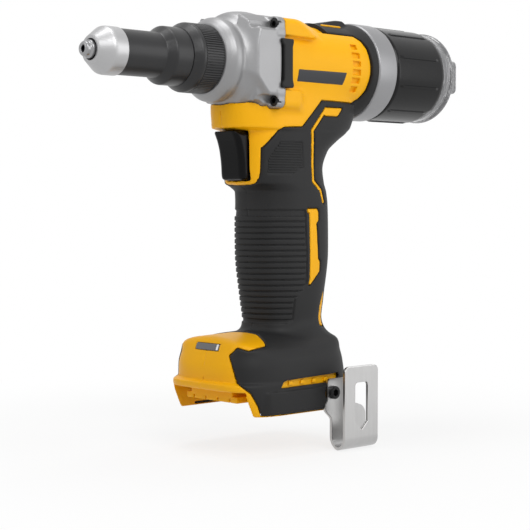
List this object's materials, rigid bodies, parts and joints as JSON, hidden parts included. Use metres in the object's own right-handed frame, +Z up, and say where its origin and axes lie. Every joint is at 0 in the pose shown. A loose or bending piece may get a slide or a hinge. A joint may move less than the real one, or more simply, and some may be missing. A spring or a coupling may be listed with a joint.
{
  "type": "battery rivet tool",
  "caption": "Cordless pistol-grip rivet tool with a stepped nose, planetary screw drive, rubber grip, belt hook and a pull-off cup for spent mandrels; bare, without its pack.",
  "frame": {"origin": "centre of the nosepiece's tip, on the barrel axis", "axes": "+X along the barrel, out of the nose; +Y to the left of the person holding it; +Z up, away from the foot"},
  "size_m": [0.2446, 0.0792, 0.2182],
  "materials": {
    "nose_steel": "machined, lightly polished",
    "black_metal": "satin black",
    "cast_metal": "satin cast and blasted",
    "black_screw": "black oxide",
    "yellow_plastic": "fine moulded grain",
    "black_rubber": "soft matt overmould",
    "band_metal": "satin grey",
    "cup_plastic": "ribbed, satin",
    "smoke_plastic": "smoky, slightly clear",
    "trigger_plastic": "satin",
    "lens": "clear",
    "board": "lacquered board",
    "hook_steel": "brushed",
    "brass": "turned",
    "copper_wire": "enamelled wire",
    "laminated_iron": "stacked sheet",
    "gear_steel": "ground",
    "fan_plastic": "plain"
  },
  "bodies": {
    "body": {"nosepiece": "nose_steel", "nose_cone": "cast_metal", "nose_sleeve": "black_metal", "locking_collar": "black_metal", "gear_housing": "cast_metal", "gear_housing_screws": "black_screw", "housing_left": "yellow_plastic", "housing_right": "yellow_plastic", "grip_rubber_left": "black_rubber", "grip_rubber_right": "black_rubber", "side_bumpers": "black_rubber", "rear_bumper": "black_rubber", "rear_band": "band_metal", "trigger_switch": "trigger_plastic", "led_lens": "lens", "led_board": "board", "belt_hook": "hook_steel", "belt_hook_screw": "black_screw", "hook_inserts": "brass", "housing_screws": "black_screw", "battery_rail_block": "yellow_plastic", "contact_blades": "brass", "control_module": "trigger_plastic", "thrust_bearing": "gear_steel", "ring_gear": "gear_steel", "stator_core": "laminated_iron", "stator_windings": "copper_wire", "bearing_plate": "cast_metal", "front_bearing": "gear_steel", "rear_bearing": "gear_steel", "guide_key": "gear_steel", "mandrel_tube": "gear_steel"},
    "trigger": {"trigger": "trigger_plastic"},
    "rotor": {"sun_gear": "gear_steel", "rotor_shaft": "gear_steel", "rotor_core": "laminated_iron", "motor_fan": "fan_plastic"},
    "carrier": {"planet_carrier": "gear_steel", "spindle_nut": "gear_steel"},
    "planet_1": {"planet_gear_1": "gear_steel"},
    "planet_2": {"planet_gear_2": "gear_steel"},
    "planet_3": {"planet_gear_3": "gear_steel"},
    "spindle": {"pull_spindle": "gear_steel", "jaw_case": "gear_steel", "jaw_spring": "gear_steel"},
    "jaws": {"jaws": "gear_steel", "jaw_pusher": "gear_steel"},
    "cup": {"collection_cup": "cup_plastic", "cup_end_cap": "smoke_plastic"}
  },
  "joints": [
    {"name": "trigger_slide", "type": "slide", "parent": "body", "child": "trigger", "axis": [-1, 0, 0], "range_m": [0, 0.0065], "stiffness_N_per_m": 500, "springref_m": -0.004},
    {"name": "rotor_spin", "type": "hinge", "parent": "body", "child": "rotor", "pos_m": [0, 0, 0], "axis": [1, 0, 0], "range_deg": [0, 5400]},
    {"name": "carrier_spin", "type": "hinge", "parent": "body", "child": "carrier", "pos_m": [0, 0, 0], "axis": [1, 0, 0], "range_deg": [0, 1800]},
    {"name": "planet_1_spin", "type": "hinge", "parent": "carrier", "child": "planet_1", "pos_m": [-0.1076, 0, 0.0135], "axis": [1, 0, 0], "range_deg": [-7200, 0]},
    {"name": "planet_2_spin", "type": "hinge", "parent": "carrier", "child": "planet_2", "pos_m": [-0.1076, -0.01169, -0.00675], "axis": [1, 0, 0], "range_deg": [-7200, 0]},
    {"name": "planet_3_spin", "type": "hinge", "parent": "carrier", "child": "planet_3", "pos_m": [-0.1076, 0.01169, -0.00675], "axis": [1, 0, 0], "range_deg": [-7200, 0]},
    {"name": "spindle_slide", "type": "slide", "parent": "body", "child": "spindle", "axis": [-1, 0, 0], "range_m": [0, 0.025]},
    {"name": "jaw_slide", "type": "slide", "parent": "spindle", "child": "jaws", "axis": [-1, 0, 0], "range_m": [0, 0.0012], "stiffness_N_per_m": 800, "springref_m": -0.002, "deforming": ["jaw_spring"]},
    {"name": "cup_slide", "type": "slide", "parent": "body", "child": "cup", "axis": [-1, 0, 0], "range_m": [0, 0.06]}
  ],
  "couplings": [
    {"joint": "carrier_spin", "follows": "rotor_spin", "ratio": 0.33333},
    {"joint": "planet_1_spin", "follows": "rotor_spin", "ratio": -1.3333},
    {"joint": "planet_2_spin", "follows": "rotor_spin", "ratio": -1.3333},
    {"joint": "planet_3_spin", "follows": "rotor_spin", "ratio": -1.3333},
    {"joint": "spindle_slide", "follows": "rotor_spin", "m_per_rad": 0.00026526}
  ]
}
